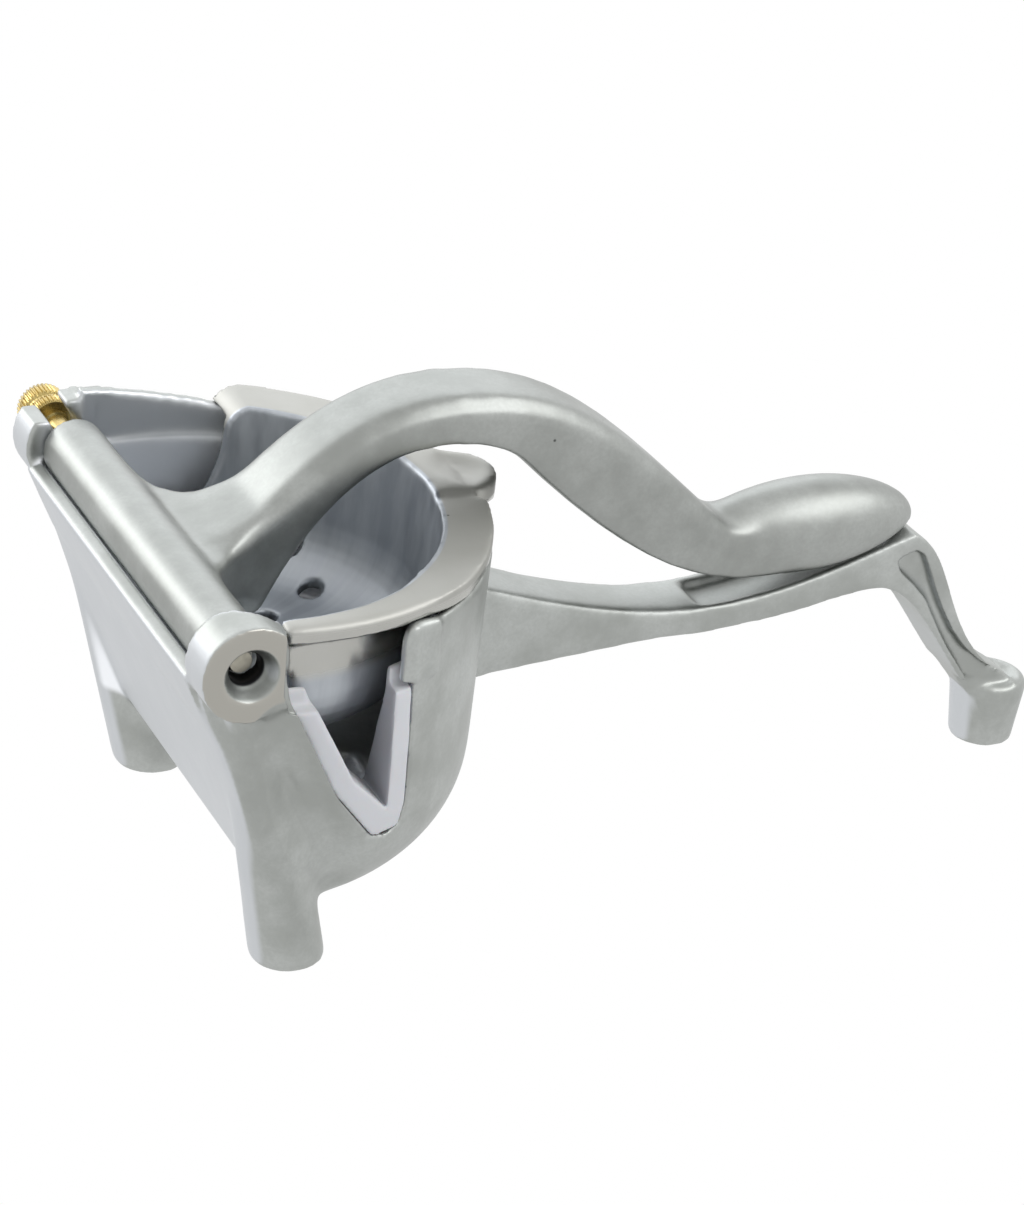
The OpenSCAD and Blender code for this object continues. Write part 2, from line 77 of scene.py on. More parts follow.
def copy_of(node, name):
    """A copy of a CAD node as one merged surface, with its place in its mesh."""
    only(frame["nodes"][node])
    bpy.ops.object.duplicate()
    piece = bpy.context.object
    bpy.ops.object.parent_clear(type="CLEAR_KEEP_TRANSFORM")
    bpy.ops.object.transform_apply(location=True, rotation=True, scale=True)
    piece.name = name
    piece.data.name = name
    piece.data.materials.clear()
    bpy.ops.object.mode_set(mode="EDIT")
    bpy.ops.mesh.select_all(action="SELECT")
    bpy.ops.mesh.remove_doubles(threshold=0.000005)
    bpy.ops.mesh.normals_make_consistent(inside=False)
    bpy.ops.object.mode_set(mode="OBJECT")
    return piece


def apply(piece, kind, name, **settings):
    only(piece)
    modifier = piece.modifiers.new(name, kind)
    for key, value in settings.items():
        setattr(modifier, key, value)
    bpy.ops.object.modifier_apply(modifier=modifier.name)


def weigh(piece, name, rule):
    """A vertex group whose weight at each point is what the rule gives."""
    piece.vertex_groups.clear()
    group = piece.vertex_groups.new(name=name)
    for v in piece.data.vertices:
        group.add([v.index], rule(v.co), "REPLACE")


def ramp(value, low, high):
    """0 at low and beyond, 1 at high and beyond, straight between."""
    return min(1.0, max(0.0, (value - low) / (high - low)))


def stands_for(piece, node, body):
    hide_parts(node)
    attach(piece, body)


def design(p):
    """A point in millimetres from the floor under the hinge axis."""
    return (p.x - HINGE.x) * 1000.0, (p.y - HINGE.y) * 1000.0, p.z * 1000.0


def frame_point(x, y, z):
    """The same point back in the shared frame, in metres."""
    return Vector((HINGE.x + x / 1000.0, HINGE.y + y / 1000.0, z / 1000.0))


def near_line(p, line, reach):
    """Whether a point lies within reach of a line of points, in millimetres."""
    for a, b in zip(line, line[1:]):
        along = b - a
        t = ramp((p - a).dot(along), 0.0, along.length_squared)
        if (p - (a + along * t)).length < reach:
            return True
    return False


def press(piece, chosen, move, reach):
    """Moves the chosen points, and draws the surface around them along."""
    only(piece)
    bpy.ops.object.mode_set(mode="EDIT")
    bpy.ops.mesh.select_mode(type="VERT")
    bpy.ops.mesh.select_all(action="DESELECT")
    bpy.ops.object.mode_set(mode="OBJECT")
    for v in piece.data.vertices:
        v.select = chosen(Vector(design(v.co)), v.normal)
    bpy.ops.object.mode_set(mode="EDIT")
    bpy.ops.transform.translate(
        value=[step / 1000.0 for step in move],
        use_proportional_edit=True,
        use_proportional_connected=True,
        proportional_edit_falloff="SMOOTH",
        proportional_size=reach / 1000.0,
    )
    bpy.ops.object.mode_set(mode="OBJECT")


def bar(name, outline, y_from, y_to):
    """A straight bar across the press: an outline of x, z points drawn out along y."""
    bpy.ops.object.select_all(action="DESELECT")
    bpy.ops.mesh.primitive_circle_add(vertices=len(outline), radius=0.01, fill_type="NGON")
    piece = bpy.context.object
    piece.name = name
    for v, (x, z) in zip(piece.data.vertices, outline):
        v.co = frame_point(x, y_from, z)
    bpy.ops.object.mode_set(mode="EDIT")
    bpy.ops.mesh.select_all(action="SELECT")
    bpy.ops.mesh.extrude_region_move(
        TRANSFORM_OT_translate={"value": (0.0, (y_to - y_from) / 1000.0, 0.0)}
    )
    bpy.ops.mesh.select_all(action="SELECT")
    bpy.ops.mesh.normals_make_consistent(inside=False)
    bpy.ops.object.mode_set(mode="OBJECT")
    return piece


def join_to(piece, *others):
    """Takes the other pieces into the first one's mesh."""
    bpy.ops.object.select_all(action="DESELECT")
    for other in others:
        other.select_set(True)
    piece.select_set(True)
    bpy.context.view_layer.objects.active = piece
    bpy.ops.object.join()


def cut_from(piece, cutter):
    """Takes the cutter's room out of the piece."""
    apply(piece, "BOOLEAN", "cut", operation="DIFFERENCE", solver="MANIFOLD", object=cutter)
    bpy.data.objects.remove(cutter, do_unlink=True)


def thin_out(piece, most):
    """Fewer triangles, no more than the given number."""
    triangles = sum(len(face.vertices) - 2 for face in piece.data.polygons)
    if triangles > most:
        apply(piece, "DECIMATE", "thin", ratio=most / triangles)


def cubic(a, b, c, d, steps=12):
    """Points on a cubic curve from a to d."""
    points = []
    for i in range(steps + 1):
        t = i / steps
        u = 1.0 - t
        parts = (u * u * u, 3.0 * u * u * t, 3.0 * u * t * t, t * t * t)
        points.append(tuple(sum(w * p[k] for w, p in zip(parts, (a, b, c, d))) for k in (0, 1)))
    return points


def round_bar(radius_from, radius_to, y_from, y_to):
    """A round or tapered bar on the hinge axis."""
    bpy.ops.object.select_all(action="DESELECT")
    bpy.ops.mesh.primitive_cone_add(
        vertices=96,
        radius1=radius_from / 1000.0,
        radius2=radius_to / 1000.0,
        depth=(y_to - y_from) / 1000.0,
        location=frame_point(0.0, (y_from + y_to) / 2.0, HINGE_H),
        rotation=(math.radians(-90.0), 0.0, 0.0),
    )
    piece = bpy.context.object
    bpy.ops.object.transform_apply(location=True, rotation=True, scale=True)
    return piece


def skin_over(piece, voxel):
    """One closed surface of even small faces over all that is joined in the piece."""
    apply(piece, "REMESH", "skin", mode="VOXEL", voxel_size=voxel, use_smooth_shade=True)


def smooth(piece, name, iterations, rule=None):
    """Evens out the surface, all over or as far as the rule says."""
    if rule:
        weigh(piece, name, rule)
    apply(piece, "SMOOTH", name, factor=0.5, iterations=iterations, vertex_group=name if rule else "")


# Material helpers


def node(tree, kind, inputs=None, **settings):
    made = tree.nodes.new(kind)
    for key, value in settings.items():
        setattr(made, key, value)
    for key, value in (inputs or {}).items():
        if isinstance(value, bpy.types.NodeSocket):
            tree.links.new(value, made.inputs[key])
        else:
            made.inputs[key].default_value = value
    return made


def math_node(tree, operation, a, b=0.0):
    return node(tree, "ShaderNodeMath", {0: a, 1: b}, operation=operation).outputs[0]


def spread(tree, value, low, high, to_low=0.0, to_high=1.0):
    made = node(
        tree,
        "ShaderNodeMapRange",
        {"Value": value, "From Min": low, "From Max": high, "To Min": to_low, "To Max": to_high},
        interpolation_type="SMOOTHSTEP",
    )
    return made.outputs["Result"]


def mix_colour(tree, factor, a, b):
    made = node(tree, "ShaderNodeMix", {0: factor, 6: a, 7: b}, data_type="RGBA")
    return made.outputs[2]


def mix_value(tree, factor, a, b):
    made = node(tree, "ShaderNodeMix", {0: factor, 2: a, 3: b}, data_type="FLOAT")
    return made.outputs[0]


def new_group(name, inputs, outputs):
    tree = bpy.data.node_groups.new(name, "ShaderNodeTree")
    for label, kind in inputs:
        tree.interface.new_socket(label, in_out="INPUT", socket_type=kind)
    for label, kind in outputs:
        tree.interface.new_socket(label, in_out="OUTPUT", socket_type=kind)
    return tree, tree.nodes.new("NodeGroupInput"), tree.nodes.new("NodeGroupOutput")


def cast_skin_group():
    """Blotches, fine grain, a few small pits and the relief of a tumbled aluminium casting."""
    tree, start, end = new_group(
        "cast_skin",
        [("Vector", "NodeSocketVector")],
        [
            ("Blotch", "NodeSocketFloat"),
            ("Grain", "NodeSocketFloat"),
            ("Pits", "NodeSocketFloat"),
            ("Height", "NodeSocketFloat"),
        ],
    )
    place = start.outputs["Vector"]
    blotch = node(
        tree, "ShaderNodeTexNoise", {"Vector": place, "Scale": 60.0, "Detail": 5.0, "Roughness": 0.62}
    ).outputs["Fac"]
    grain = node(
        tree, "ShaderNodeTexNoise", {"Vector": place, "Scale": 1300.0, "Detail": 3.0, "Roughness": 0.6}
    ).outputs["Fac"]
    cells = node(tree, "ShaderNodeTexVoronoi", {"Vector": place, "Scale": 210.0}, feature="F1")
    picked = node(tree, "ShaderNodeSeparateColor", {0: cells.outputs["Color"]}).outputs[0]
    chosen = spread(tree, picked, 0.965, 0.975)
    dot = spread(tree, cells.outputs["Distance"], 0.03, 0.09, 1.0, 0.0)
    pits = math_node(tree, "MULTIPLY", chosen, dot)
    wave = node(
        tree, "ShaderNodeTexNoise", {"Vector": place, "Scale": 130.0, "Detail": 2.0}
    ).outputs["Fac"]
    height = math_node(tree, "MULTIPLY_ADD", grain, 0.1)
    tree.links.new(wave, height.node.inputs[2])
    height = math_node(tree, "SUBTRACT", height, math_node(tree, "MULTIPLY", pits, 0.4))
    tree.links.new(blotch, end.inputs["Blotch"])
    tree.links.new(grain, end.inputs["Grain"])
    tree.links.new(pits, end.inputs["Pits"])
    tree.links.new(height, end.inputs["Height"])
    return tree


CAST_SKIN = cast_skin_group()


def skin(tree, place):
    made = node(tree, "ShaderNodeGroup", node_tree=CAST_SKIN)
    tree.links.new(place, made.inputs["Vector"])
    return made.outputs


def new_material(name):
    material = bpy.data.materials.new(name)
    material.use_nodes = True
    tree = material.node_tree
    tree.nodes.clear()
    end = tree.nodes.new("ShaderNodeOutputMaterial")
    shader = tree.nodes.new("ShaderNodeBsdfPrincipled")
    tree.links.new(shader.outputs[0], end.inputs["Surface"])
    place = node(tree, "ShaderNodeTexCoord").outputs["Object"]
    return material, tree, shader, place


def give(piece, material):
    piece.data.materials.clear()
    piece.data.materials.append(material)


def bump(tree, shader, height, strength, distance):
    made = node(
        tree, "ShaderNodeBump", {"Height": height, "Strength": strength, "Distance": distance}
    )
    tree.links.new(made.outputs["Normal"], shader.inputs["Normal"])


def polar(tree, place, x, y):
    """Distance from an upright axis at x, y, the parts of a point and its offset from the axis."""
    parts = node(tree, "ShaderNodeSeparateXYZ", {0: place}).outputs
    flat = node(
        tree,
        "ShaderNodeCombineXYZ",
        {0: math_node(tree, "SUBTRACT", parts[0], x), 1: math_node(tree, "SUBTRACT", parts[1], y)},
    ).outputs[0]
    radius = node(tree, "ShaderNodeVectorMath", {0: flat}, operation="LENGTH").outputs["Value"]
    return radius, parts, flat


# Aluminium of the body: satin outside, smoother on the ground boss face; inside, polish and painted
# light make it lighter;
# faces turned to −X are painted lighter (painted light), and the shaft's hole is painted shade, near
# black

BODY_SATIN = (0.507, 0.525, 0.511, 1.0)
BODY_WORN = (0.360, 0.374, 0.357, 1.0)
BODY_PLATE_PAINTED_LIGHT = (0.6, 0.62, 0.64, 1.0)
BODY_INSIDE_POLISH_AND_PAINTED_LIGHT = (0.93, 0.95, 0.98, 1.0)
BODY_BORE = (0.62, 0.64, 0.66, 1.0)
HOLE_PAINTED_SHADE = (0.05, 0.05, 0.055, 1.0)
LEVER_SATIN = (0.414, 0.428, 0.414, 1.0)
LEVER_WORN = (0.296, 0.307, 0.293, 1.0)
PIT = (0.1, 0.105, 0.1, 1.0)
GROUND = (0.41, 0.4, 0.365, 1.0)


def satin_colour(tree, marks, fresh, worn):
    """Satin aluminium, with faint blotches, grain and pits."""
    tone = spread(tree, marks["Blotch"], 0.3, 0.7)
    fleck = spread(tree, marks["Grain"], 0.3, 0.7, 0.0, 0.3)
    colour = mix_colour(tree, tone, worn, fresh)
    colour = mix_colour(tree, fleck, colour, worn)
    return mix_colour(tree, marks["Pits"], colour, PIT)


material_body, tree, shader, place = new_material("cast_aluminium_body")
marks = skin(tree, place)
radius, parts, flat = polar(tree, place, BOWL_X, BOWL_Y)
ground_face = spread(tree, parts[1], HINGE.y - 0.0549, HINGE.y - 0.0546, 1.0, 0.0)
faces = node(tree, "ShaderNodeTexCoord").outputs["Normal"]
outward = node(tree, "ShaderNodeVectorMath", {0: flat}, operation="NORMALIZE").outputs["Vector"]
leans_in = node(
    tree, "ShaderNodeVectorMath", {0: faces, 1: outward}, operation="DOT_PRODUCT"
).outputs["Value"]
inside = math_node(
    tree,
    "MULTIPLY",
    spread(tree, radius, BOWL_R - 0.0026, BOWL_R - 0.0014, 1.0, 0.0),
    math_node(
        tree,
        "MULTIPLY",
        spread(tree, parts[2], 0.018, 0.02),
        spread(tree, leans_in, -0.3, 0.1, 1.0, 0.0),
    ),
)
colour = satin_colour(tree, marks, BODY_SATIN, BODY_WORN)
face_parts = node(tree, "ShaderNodeSeparateXYZ", {0: faces}).outputs
# Painted light: faces turned to −X, the back of the body among them, get a lighter colour
painted_light_side = spread(tree, face_parts[0], -0.9, -0.75, 1.0, 0.0)
colour = mix_colour(tree, painted_light_side, colour, BODY_PLATE_PAINTED_LIGHT)
# Inside the hopper the metal is much lighter: partly its polish, partly painted light against the shade
# there
above_step = spread(tree, parts[2], 0.0692, 0.0698)
colour = mix_colour(tree, inside, colour, mix_colour(tree, above_step, BODY_INSIDE_POLISH_AND_PAINTED_LIGHT, BODY_BORE))
colour = mix_colour(tree, ground_face, colour, GROUND)
# Painted shade: the shaft's hole is coloured near black
off_axis = node(
    tree,
    "ShaderNodeCombineXYZ",
    {
        0: math_node(tree, "SUBTRACT", parts[0], HINGE.x),
        2: math_node(tree, "SUBTRACT", parts[2], HINGE.z),
    },
).outputs[0]
from_axis = node(tree, "ShaderNodeVectorMath", {0: off_axis}, operation="LENGTH").outputs["Value"]
hole = math_node(
    tree,
    "MULTIPLY",
    spread(tree, from_axis, 0.0033, 0.0036, 1.0, 0.0),
    spread(tree, parts[1], HINGE.y - 0.044, HINGE.y - 0.043, 1.0, 0.0),
)
colour = mix_colour(tree, hole, colour, HOLE_PAINTED_SHADE)
tree.links.new(colour, shader.inputs["Base Color"])
rough = spread(tree, marks["Blotch"], 0.3, 0.7, 0.42, 0.5)
rough = mix_value(tree, ground_face, rough, 0.3)
rough = mix_value(tree, inside, rough, 0.42)
tree.links.new(rough, shader.inputs["Roughness"])
shader.inputs["Metallic"].default_value = 1.0
bump(tree, shader, marks["Height"], 0.26, 0.0004)

# Aluminium of the lever: satin all over

material_lever, tree, shader, place = new_material("cast_aluminium_lever")
marks = skin(tree, place)
tree.links.new(satin_colour(tree, marks, LEVER_SATIN, LEVER_WORN), shader.inputs["Base Color"])
tree.links.new(spread(tree, marks["Blotch"], 0.3, 0.7, 0.38, 0.46), shader.inputs["Roughness"])
shader.inputs["Metallic"].default_value = 1.0
bump(tree, shader, marks["Height"], 0.26, 0.0004)

# Aluminium of the cup: bluish streaked satin inside, polished wall and rim outside

CUP_INSIDE_DARK = (0.42, 0.445, 0.48, 1.0)
CUP_INSIDE_LIGHT = (0.52, 0.55, 0.58, 1.0)
CUP_OUTSIDE_DARK = (0.4, 0.4, 0.37, 1.0)
CUP_OUTSIDE_LIGHT = (0.5, 0.5, 0.48, 1.0)

material_cup, tree, shader, place = new_material("polished_aluminium_cup")
marks = skin(tree, place)
radius, parts, _ = polar(tree, place, CUP_X, CUP_Y)
outer = spread(tree, radius, CUP_R - 0.0012, CUP_R - 0.0008)
around = math_node(
    tree,
    "ARCTAN2",
    math_node(tree, "SUBTRACT", parts[1], CUP_Y),
    math_node(tree, "SUBTRACT", parts[0], CUP_X),
)
upright = node(tree, "ShaderNodeCombineXYZ", {0: around, 1: math_node(tree, "MULTIPLY", parts[2], 6.0)})
streak = node(
    tree,
    "ShaderNodeTexNoise",
    {"Vector": upright.outputs[0], "Scale": 9.0, "Detail": 3.0, "Roughness": 0.6},
).outputs["Fac"]
inner_colour = mix_colour(
    tree, spread(tree, streak, 0.3, 0.7), CUP_INSIDE_DARK, CUP_INSIDE_LIGHT
)
outer_colour = mix_colour(tree, marks["Blotch"], CUP_OUTSIDE_DARK, CUP_OUTSIDE_LIGHT)
colour = mix_colour(tree, outer, inner_colour, outer_colour)
colour = mix_colour(tree, marks["Pits"], colour, PIT)
tree.links.new(colour, shader.inputs["Base Color"])
rough = spread(tree, streak, 0.3, 0.7, 0.42, 0.52)
rim = spread(tree, parts[2], 0.0742, 0.0748)
rough = mix_value(tree, outer, rough, mix_value(tree, rim, 0.24, 0.52))
tree.links.new(rough, shader.inputs["Roughness"])
shader.inputs["Metallic"].default_value = 1.0
bump(tree, shader, marks["Height"], 0.08, 0.0004)

# Steel shaft, brass nut and silicone trim, each from its darker to its lighter tone

STEEL = ((0.36, 0.34, 0.28, 1.0), (0.52, 0.5, 0.43, 1.0))
BRASS = ((0.42, 0.31, 0.1, 1.0), (0.56, 0.45, 0.2, 1.0))
SILICONE = ((0.72, 0.72, 0.735, 1.0), (0.78, 0.78, 0.79, 1.0))
SILICONE_PAINTED_SHADE = (0.5, 0.5, 0.53, 1.0)

material_steel, tree, shader, place = new_material("turned_steel")
marks = skin(tree, place)
colour = mix_colour(tree, marks["Blotch"], *STEEL)
tree.links.new(colour, shader.inputs["Base Color"])
tree.links.new(spread(tree, marks["Grain"], 0.2, 0.8, 0.3, 0.5), shader.inputs["Roughness"])
shader.inputs["Metallic"].default_value = 1.0
bump(tree, shader, marks["Height"], 0.2, 0.0003)

material_brass, tree, shader, place = new_material("turned_brass")
marks = skin(tree, place)
colour = mix_colour(tree, marks["Blotch"], *BRASS)
tree.links.new(colour, shader.inputs["Base Color"])
tree.links.new(spread(tree, marks["Grain"], 0.2, 0.8, 0.2, 0.34), shader.inputs["Roughness"])
shader.inputs["Metallic"].default_value = 1.0
bump(tree, shader, marks["Grain"], 0.08, 0.0002)

material_trim, tree, shader, place = new_material("white_silicone")
marks = skin(tree, place)
colour = mix_colour(tree, marks["Blotch"], *SILICONE)
# Painted shade: faces turned to −X, the trim's inner sides, get a darker grey
faces = node(tree, "ShaderNodeTexCoord").outputs["Normal"]
face_parts = node(tree, "ShaderNodeSeparateXYZ", {0: faces}).outputs
turned_in_shade = spread(tree, face_parts[0], -0.75, -0.35, 1.0, 0.0)
colour = mix_colour(tree, turned_in_shade, colour, SILICONE_PAINTED_SHADE)
tree.links.new(colour, shader.inputs["Base Color"])
tree.links.new(spread(tree, marks["Grain"], 0.2, 0.8, 0.5, 0.62), shader.inputs["Roughness"])
shader.inputs["Subsurface Weight"].default_value = 0.1
shader.inputs["Subsurface Scale"].default_value = 0.002
bump(tree, shader, marks["Grain"], 0.06, 0.0002)


# Body casting: places in millimetres from the floor under the hinge axis, voxel sizes in metres

BODY_VOXEL = 0.00055
BODY_TRIANGLES = 190000
BOSS_IN = 45.5
BOSS_FACE = 55.0
BOSS_R = 9.1
BOSS_CLEAR_R = 9.6
SINK_MOUTH_R = 5.35
SINK_FLOOR_R = 3.45
SINK_END = -51.4
BORE_R = 3.1
BORE_END = -47.0
BOSS_FLAT = ((6.5, 66.0), (8.2, 60.5), (16.0, 60.5), (16.0, 90.0), (6.5, 90.0))
BOSS_EAR = (
    (-4.48, 79.43), (-2.63, 80.18), (-0.50, 80.54), (1.66, 80.40), (3.27, 79.97), (4.78, 79.27),
    (6.14, 78.32), (7.32, 77.14), (8.27, 75.78), (8.97, 74.27), (9.40, 72.66), (18.0, 72.7),
    (18.0, 90.0), (-4.5, 90.0),
)
PLATE_LEDGE = ((-9.3, 67.2), (-6.25, 68.6), (-4.0, 60.0), (-3.2, 54.0), (-3.7, 54.0))
FRONT_PRONG = (
    (2.6, 71.0), (5.4, 71.0), (5.6, 77.5), (4.6, 79.3), (-0.6, 79.6), (-0.4, 78.4), (2.55, 73.6),
)
PRONG_SLOPE = ((-2.4, 72.2), (-5.2, 77.5), (-5.2, 84.0), (-2.0, 84.0))
SPOUT_EDGE = [
    Vector((x, 0.0, z))
    for x, z in (
        (5.0, 71.0), (12.0, 56.0), (22.0, 38.0), (30.0, 28.5), (35.6, 34.0), (35.0, 62.0), (35.0, 76.0),
    )
]
SPOUT_FLANGE = (
    (6.3, 78.2), (7.3, 77.6), (7.5, 70.0), (8.9, 63.0),
    (12.2, 56.0), (11.2, 55.4), (7.8, 62.4), (6.3, 70.0),
)
WALL_END = (
    (32.4, 60.8), (36.2, 60.8), (36.2, 72.9), (34.6, 72.9), (33.3, 72.3), (32.6, 71.2), (32.3, 69.5),
)
WALL_BACK = ((34.2, 60.8), (41.0, 60.8), (41.0, 72.8), (34.7, 72.9), (34.2, 72.6))
VALLEY = [Vector((x, 0.0, z)) for x, z in ((7.0, 58.0), (12.0, 44.0), (19.0, 28.0), (22.0, 18.0))]
FOOT_X = 197.0
FOOT_TOP = 13.0
FOOT_CORNER = ((176.0, 9.0), (197.0, 9.0), (197.0, 15.6), (184.0, 18.6), (176.0, 20.6))
LEG_CORE = ((170.0, 5.0), (198.0, 5.0), (198.0, 30.0), (170.0, 30.0))
LEG_HALF = 7.7
LEG_HEART = 4.0
LEG_RECESS_FLOOR = 4.9
LEG_OUTLINE = (
    cubic((167.5, 55.7), (180.0, 50.2), (177.0, 27.7), (198.0, 17.0))
    + [(198.0, 12.4), (190.10, 12.4)]
    + cubic((190.10, 12.0), (176.0, 28.0), (170.0, 45.0), (158.0, 44.0))
    + [(160.0, 51.0)]
)
LEG_RECESS = (
    (164.0, 50.2), (168.4, 51.8), (170.5, 50.4), (172.0, 47.4), (174.3, 42.3), (176.9, 37.1),
    (180.6, 31.0), (184.2, 26.6), (188.8, 22.7), (193.4, 19.7), (197.6, 17.4), (200.0, 14.8),
    (190.6, 14.4), (188.2, 16.0), (186.0, 18.9), (183.2, 22.9), (180.4, 26.6), (177.7, 30.8),
    (175.2, 35.2), (172.7, 39.6), (169.2, 43.6), (165.2, 47.2),
)


def near_spout(x, z, reach):
    return near_line(Vector((x, 0.0, z)), SPOUT_EDGE, reach)


def casting_fillet(p):
    """Most where legs, hopper and arm run into each other, some on the hopper's upper edge."""
    x, y, z = design(p)
    low = ramp(z, 60.0, 52.0)
    if y < -28.0 and x < 48.0 and z > 18.0 and near_spout(x, z, 4.0):
        low = 0.0
    arm = 1.0 - 0.45 * ramp(x, 106.0, 114.0) - 0.4 * ramp(x, 150.0, 162.0)
    far_lip = ramp(y, 28.0, 32.0) * ramp(x, 9.0, 12.0)
    near_lip = ramp(y, -24.0, -30.0) * ramp(x, 30.0, 32.0)
    lip = ramp(z, 60.0, 63.0) * max(0.4 * far_lip, near_lip * (0.4 + 0.6 * ramp(x, 44.0, 39.0)))
    return max(low * arm, lip)


def in_valley(p, normal):
    """On the near side, along the line where the leg meets the hopper."""
    if p.x >= 30.0 or p.y >= -40.0 or normal.y >= -0.2:
        return False
    return near_line(Vector((p.x, 0.0, p.z)), VALLEY, 1.2)


def valley_soften(p):
    """The hollow between the near leg and the hopper, clear of the spout's edge."""
    x, y, z = design(p)
    if y > -38.0 or x > 28.0 or near_spout(x, z, 3.0):
        return 0.0
    return ramp(z, 62.0, 56.0) * ramp(z, 10.0, 14.0)


def foot_round():
    """An upright round bar around the foot."""
    bpy.ops.object.select_all(action="DESELECT")
    bpy.ops.mesh.primitive_cylinder_add(
        vertices=96, radius=0.0083, depth=0.04, location=frame_point(FOOT_X, 0.0, 15.0)
    )
    piece = bpy.context.object
    bpy.ops.object.transform_apply(location=True, rotation=True, scale=True)
    return piece


def foot_ring():
    """The thick rim on the foot's top."""
    bpy.ops.object.select_all(action="DESELECT")
    bpy.ops.mesh.primitive_torus_add(
        location=frame_point(FOOT_X, 0.0, FOOT_TOP + 0.6),
        major_radius=0.0066,
        minor_radius=0.0016,
        major_segments=72,
        minor_segments=24,
    )
    piece = bpy.context.object
    bpy.ops.object.transform_apply(location=True, rotation=True, scale=True)
    return piece


body = copy_of("body_casting", "body_shell")

# The near boss gets a clean face with its countersink and hole, and a flat beside the spout
near_boss = round_bar(BOSS_R, BOSS_R, -BOSS_FACE + 0.02, -48.5)
cut_from(body, round_bar(BOSS_CLEAR_R, BOSS_CLEAR_R, -BOSS_FACE - 4.0, -BOSS_FACE - 0.01))
for piece, lead in ((near_boss, 0.01), (body, 0.02)):
    cut_from(piece, round_bar(SINK_MOUTH_R, SINK_FLOOR_R, -BOSS_FACE - lead, SINK_END))
    cut_from(piece, round_bar(BORE_R, BORE_R, -BOSS_FACE - 1.0, BORE_END))
    cut_from(piece, bar("boss_flat", BOSS_FLAT, -60.0, -50.4))
cut_from(body, bar("ear_cut", BOSS_EAR, -60.0, -42.0))

# The leg's sides are filled and get one long hollow each, and its corners stay within the foot
leg_sides = []
for side in (-1.0, 1.0):
    leg_side = bar("leg_side", LEG_OUTLINE, side * LEG_HEART, side * LEG_HALF)
    leg_sides.append(leg_side)
    for piece in (leg_side, body):
        cut_from(piece, bar("leg_recess", LEG_RECESS, side * LEG_RECESS_FLOOR, side * 12.0))
for piece in [body] + leg_sides:
    corner = bar("foot_corner", FOOT_CORNER, -12.0, 12.0)
    cut_from(corner, foot_round())
    cut_from(corner, bar("leg_core", LEG_CORE, -4.2, 4.2))
    cut_from(piece, corner)

cut_from(body, bar("prong_cut", PRONG_SLOPE, 40.0, 60.0))
join_to(
    body,
    foot_ring(),
    bar("plate_ledge", PLATE_LEDGE, -BOSS_IN - 0.2, BOSS_IN + 0.2),
    bar("front_prong", FRONT_PRONG, 48.4, BOSS_FACE),
    near_boss,
    bar("spout_flange", SPOUT_FLANGE, -52.2, -47.6),
    bar("wall_end", WALL_END, -48.2, -45.2),
    bar("wall_back", WALL_BACK, -46.4, -43.6),
    *leg_sides,
)
skin_over(body, BODY_VOXEL)
smooth(body, "run_together", 70, casting_fillet)
press(body, in_valley, (0.8, 3.4, 0.0), 7.0)
smooth(body, "round_valley", 40, valley_soften)
smooth(body, "soften", 4)
thin_out(body, BODY_TRIANGLES)
give(body, material_body)
stands_for(body, "body_casting", "base")

# Strainer cup

CUP_VOXEL = 0.00048
CUP_TRIANGLES = 150000
TAB_MID = 3.0


def cup_soften(p):
    """Soft where the rim runs into the near wall and the tab into the rim."""
    x, y, z = design(p)
    near_lip = ramp(y, -34.0, -38.0) * ramp(x, 44.0, 36.0) * ramp(z, 66.0, 69.0)
    tab_root = ramp(x, 54.0, 58.0) * ramp(x, 71.0, 68.0) * ramp(z, 70.0, 72.0)
    tab_root *= ramp(abs(y - TAB_MID), 13.0, 11.0)
    return max(near_lip, tab_root)


cup = copy_of("strainer_cup", "cup_shell")
skin_over(cup, CUP_VOXEL)
press(cup, lambda p, normal: p.x > 68.0, (-2.2, 0.0, -0.9), 7.0)
smooth(cup, "run_together", 60, cup_soften)
smooth(cup, "soften", 4)
thin_out(cup, CUP_TRIANGLES)
give(cup, material_cup)
stands_for(cup, "strainer_cup", "cup")

# Lever: a saddle of metal fills the corner between the barrel and the arm. Each row of the saddle
# gives x, half its width and its top.

LEVER_VOXEL = 0.0006
LEVER_TRIANGLES = 170000
STEP_FILL = 0.0026  # metres
WEB = (
    (0.5, 40.0, 77.2),
    (3.0, 38.0, 76.4),
    (4.6, 33.0, 75.4),
    (5.6, 27.5, 74.8),
    (7.0, 22.0, 74.3),
    (9.0, 17.5, 74.3),
    (11.5, 14.2, 74.9),
    (14.5, 11.8, 76.0),
    (18.0, 10.2, 77.8),
)
WEB_LOW = 68.5

